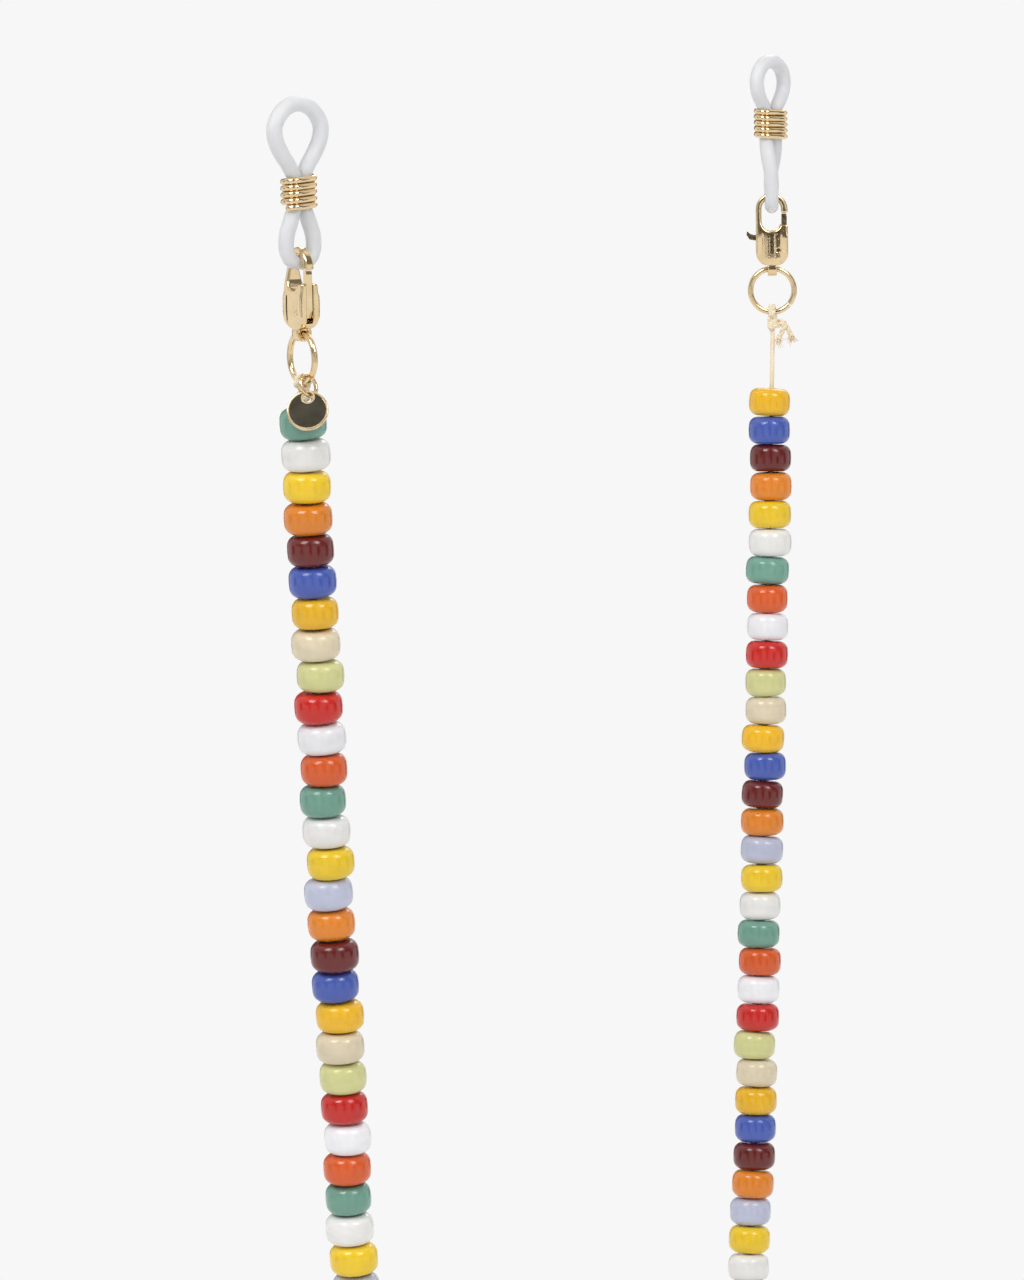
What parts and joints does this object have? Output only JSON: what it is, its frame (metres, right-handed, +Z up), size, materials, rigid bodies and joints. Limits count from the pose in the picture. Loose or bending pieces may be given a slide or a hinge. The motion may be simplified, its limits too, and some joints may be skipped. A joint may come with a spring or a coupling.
{
  "type": "eyeglass retainer strap",
  "caption": "Beaded cord that hangs a pair of spectacles round the neck, with a clasp, slider and silicone temple loop at each end and a small blank tag.",
  "frame": {"origin": "middle of the near temple loop's opening, where the spectacle temple goes through", "axes": "+Z up, against the pull of the hanging strap; +Y from the near temple loop to the far one; X along the temples"},
  "size_m": [0.0083, 0.1394, 0.3418],
  "materials": {
    "silicone": "milky translucent silicone, satin",
    "gold": "polished pale gold plate",
    "spring_steel": "fine wire",
    "thread": "cream twisted thread",
    "tag_enamel": "mirror-smooth dark olive enamel",
    "bead_teal": "opaque glossy glass",
    "bead_pearl": "opaque glossy glass",
    "bead_yellow": "opaque glossy glass",
    "bead_lavender": "opaque glossy glass",
    "bead_orange": "opaque glossy glass",
    "bead_maroon": "opaque glossy glass",
    "bead_blue": "opaque glossy glass",
    "bead_amber": "opaque glossy glass",
    "bead_peach": "opaque glossy glass",
    "bead_lime": "opaque glossy glass",
    "bead_red": "opaque glossy glass",
    "bead_white": "opaque glossy glass",
    "bead_orange_red": "opaque glossy glass"
  },
  "bodies": {
    "temple_loops": {"near_silicone_loop": "silicone", "far_silicone_loop": "silicone"},
    "near_slider": {"near_coil_slider": "gold"},
    "far_slider": {"far_coil_slider": "gold"},
    "near_clasp": {"near_clasp_body": "gold", "near_clasp_pin": "gold", "near_clasp_spring": "spring_steel"},
    "far_clasp": {"far_clasp_body": "gold", "far_clasp_pin": "gold", "far_clasp_spring": "spring_steel"},
    "near_lever": {"near_clasp_trigger": "gold"},
    "far_lever": {"far_clasp_trigger": "gold"},
    "near_ring": {"near_jump_ring": "gold"},
    "far_ring": {"far_jump_ring": "gold"},
    "strand": {"near_thread_knot": "thread", "far_thread_knot": "thread", "thread": "thread", "beads_teal": "bead_teal", "beads_pearl": "bead_pearl", "beads_yellow": "bead_yellow", "beads_lavender": "bead_lavender", "beads_orange": "bead_orange", "beads_maroon": "bead_maroon", "beads_blue": "bead_blue", "beads_amber": "bead_amber", "beads_peach": "bead_peach", "beads_lime": "bead_lime", "beads_red": "bead_red", "beads_white": "bead_white", "beads_orange_red": "bead_orange_red"},
    "tag_link": {"tag_ring": "gold"},
    "tag": {"tag_disc": "gold", "tag_face": "tag_enamel"}
  },
  "joints": [
    {"name": "near_slider_slide", "type": "slide", "parent": "temple_loops", "child": "near_slider", "axis": [0, 0, 1], "range_m": [-0.003, 0.003], "deforming": ["near_silicone_loop"]},
    {"name": "far_slider_slide", "type": "slide", "parent": "temple_loops", "child": "far_slider", "axis": [0, 0, 1], "range_m": [-0.005, 0.0015], "deforming": ["far_silicone_loop"]},
    {"name": "near_clasp_swing", "type": "hinge", "parent": "temple_loops", "child": "near_clasp", "pos_m": [0, 0, -0.0166], "axis": [0, 1, 0], "range_deg": [-25, 25]},
    {"name": "far_clasp_swing", "type": "hinge", "parent": "temple_loops", "child": "far_clasp", "pos_m": [0, 0.13, -0.0166], "axis": [0, 1, 0], "range_deg": [-25, 25]},
    {"name": "near_lever_open", "type": "hinge", "parent": "near_clasp", "child": "near_lever", "pos_m": [0.0008, -0.00042, -0.0228], "axis": [-0.4695, -0.8829, 0], "range_deg": [0, 20], "stiffness_Nm_per_rad": 0.01, "springref_deg": -11.46, "deforming": ["near_clasp_spring"]},
    {"name": "far_lever_open", "type": "hinge", "parent": "far_clasp", "child": "far_lever", "pos_m": [0.00078, 0.13045, -0.0228], "axis": [0.5, -0.866, 0], "range_deg": [0, 20], "stiffness_Nm_per_rad": 0.01, "springref_deg": -11.46, "deforming": ["far_clasp_spring"]},
    {"name": "near_ring_swing", "type": "hinge", "parent": "near_clasp", "child": "near_ring", "pos_m": [0, 0, -0.02555], "axis": [0, 1, 0], "range_deg": [-10, 10]},
    {"name": "far_ring_swing", "type": "hinge", "parent": "far_clasp", "child": "far_ring", "pos_m": [0, 0.13, -0.02555], "axis": [0, 1, 0], "range_deg": [-10, 10]},
    {"name": "strand_swing", "type": "hinge", "parent": "near_ring", "child": "strand", "pos_m": [0, 0, -0.03198], "axis": [0, 1, 0], "range_deg": [-5, 12]},
    {"name": "tag_link_swing", "type": "hinge", "parent": "near_ring", "child": "tag_link", "pos_m": [0.00133, -0.00071, -0.0316], "axis": [0.8829, 0.4695, 0], "range_deg": [-12, 1]},
    {"name": "tag_swing", "type": "hinge", "parent": "tag_link", "child": "tag", "pos_m": [0.00186, -0.00171, -0.03342], "axis": [0.8988, 0.4384, 0], "range_deg": [-14, 1]}
  ],
  "couplings": [
    {"joint": "far_clasp_swing", "follows": "near_clasp_swing", "ratio": 1},
    {"joint": "far_ring_swing", "follows": "near_ring_swing", "ratio": 1}
  ]
}
